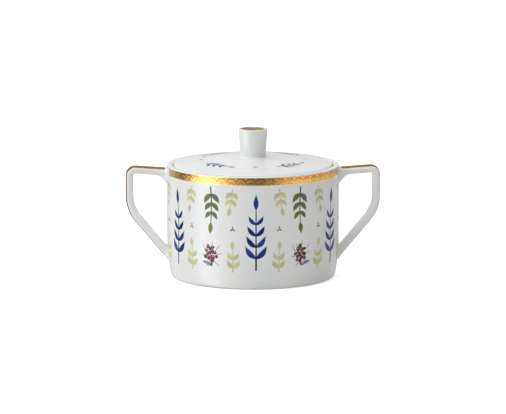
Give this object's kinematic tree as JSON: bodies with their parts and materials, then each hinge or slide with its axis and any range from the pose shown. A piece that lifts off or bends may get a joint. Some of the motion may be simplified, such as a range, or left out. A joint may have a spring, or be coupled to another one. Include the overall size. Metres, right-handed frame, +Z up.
{
  "type": "sugar bowl",
  "caption": "Cylindrical porcelain sugar bowl with angular strap handles and a low domed lid that lifts off by a tapered knob.",
  "frame": {"origin": "centre of the circle the foot ring stands on, in the plane of the table", "axes": "+Z up along the bowl's axis, handles along +X and -X, front of the bowl towards -Y"},
  "size_m": [0.142, 0.096, 0.0832],
  "materials": {
    "porcelain": "gloss",
    "gilding": "polished"
  },
  "bodies": {
    "bowl": {"bowl_body": "porcelain", "handle_left": "porcelain", "handle_right": "porcelain", "rim_gold_band": "gilding", "handle_left_gold_line": "gilding", "handle_right_gold_line": "gilding"},
    "lid": {"lid_plate": "porcelain", "lid_knob": "porcelain", "knob_gold_disc": "gilding"}
  },
  "joints": [
    {"name": "lid_lift", "type": "slide", "parent": "bowl", "child": "lid", "axis": [0, 0, 1], "range_m": [0, 0.07]}
  ]
}
